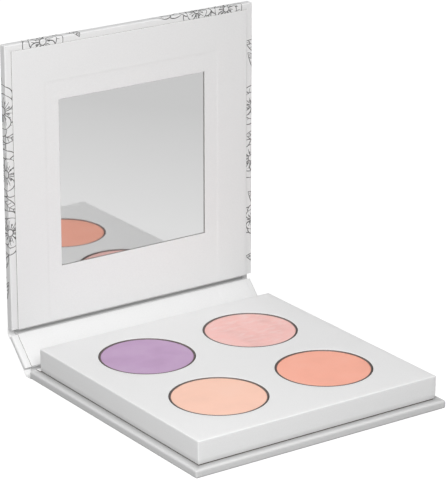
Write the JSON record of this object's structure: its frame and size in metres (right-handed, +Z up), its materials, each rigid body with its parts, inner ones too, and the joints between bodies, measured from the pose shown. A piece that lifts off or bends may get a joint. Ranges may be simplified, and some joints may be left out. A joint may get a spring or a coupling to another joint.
{
  "type": "eyeshadow palette",
  "caption": "Paper-covered board compact that opens like a book, with lift-out pressed-powder pans in a raised tray and a square mirror set in the lid.",
  "frame": {"origin": "centre of the base's underside", "axes": "+X right along the spine, +Y from the front edge towards the spine, +Z up out of the base"},
  "size_m": [0.0824, 0.0945, 0.0943],
  "materials": {
    "cover_paper": "matte laminated, with fine grey botanical line art",
    "liner_card": "matte",
    "tray_card": "matte",
    "greyboard": "raw",
    "spacer_foam": "closed-cell foam",
    "magnet_rubber": "matte",
    "magnet_nickel": "nickel-plated",
    "pan_tinplate": "bright tinplate",
    "powder_lilac": "pressed powder, satin",
    "powder_rose": "pressed powder, pearly",
    "powder_peach": "pressed powder, satin",
    "powder_coral": "pressed powder, matte",
    "mirror_glass": "clear float glass, silvered behind",
    "mirror_paint": "backing paint and safety film",
    "mirror_tape": "double-sided tape"
  },
  "bodies": {
    "base": {"base_board": "greyboard", "base_wrap": "cover_paper", "base_liner": "liner_card", "tray_frame": "greyboard", "tray_floor": "greyboard", "magnet_sheet": "magnet_rubber", "well_spacer": "spacer_foam", "tray_magnets": "magnet_nickel", "tray_cover": "tray_card", "lower_crease_wrap": "cover_paper", "lower_crease_liner": "liner_card"},
    "back_left_pan": {"pan_back_left": "pan_tinplate", "powder_back_left": "powder_lilac"},
    "back_right_pan": {"pan_back_right": "pan_tinplate", "powder_back_right": "powder_rose"},
    "front_left_pan": {"pan_front_left": "pan_tinplate", "powder_front_left": "powder_peach"},
    "front_right_pan": {"pan_front_right": "pan_tinplate", "powder_front_right": "powder_coral"},
    "spine": {"spine_board": "greyboard", "spine_wrap": "cover_paper", "spine_liner": "liner_card", "upper_crease_wrap": "cover_paper", "upper_crease_liner": "liner_card"},
    "lid": {"lid_back_board": "greyboard", "lid_front_board": "greyboard", "lid_wrap": "cover_paper", "lid_liner": "liner_card", "lid_magnets": "magnet_nickel", "mirror_glass": "mirror_glass", "mirror_backing": "mirror_paint", "mirror_tape": "mirror_tape"}
  },
  "joints": [
    {"name": "spine_hinge", "type": "hinge", "parent": "base", "child": "spine", "pos_m": [0, 0.0438, 0], "axis": [-1, 0, 0], "range_deg": [-45, 45], "deforming": ["lower_crease_wrap", "lower_crease_liner"]},
    {"name": "lid_hinge", "type": "hinge", "parent": "spine", "child": "lid", "pos_m": [0, 0.05328, 0.00948], "axis": [-1, 0, 0], "range_deg": [-45.7, 45], "deforming": ["upper_crease_wrap", "upper_crease_liner"]},
    {"name": "pan_back_left_lift", "type": "slide", "parent": "base", "child": "back_left_pan", "axis": [0, 0, 1], "range_m": [0, 0.012]},
    {"name": "pan_back_right_lift", "type": "slide", "parent": "base", "child": "back_right_pan", "axis": [0, 0, 1], "range_m": [0, 0.012]},
    {"name": "pan_front_left_lift", "type": "slide", "parent": "base", "child": "front_left_pan", "axis": [0, 0, 1], "range_m": [0, 0.012]},
    {"name": "pan_front_right_lift", "type": "slide", "parent": "base", "child": "front_right_pan", "axis": [0, 0, 1], "range_m": [0, 0.012]}
  ]
}
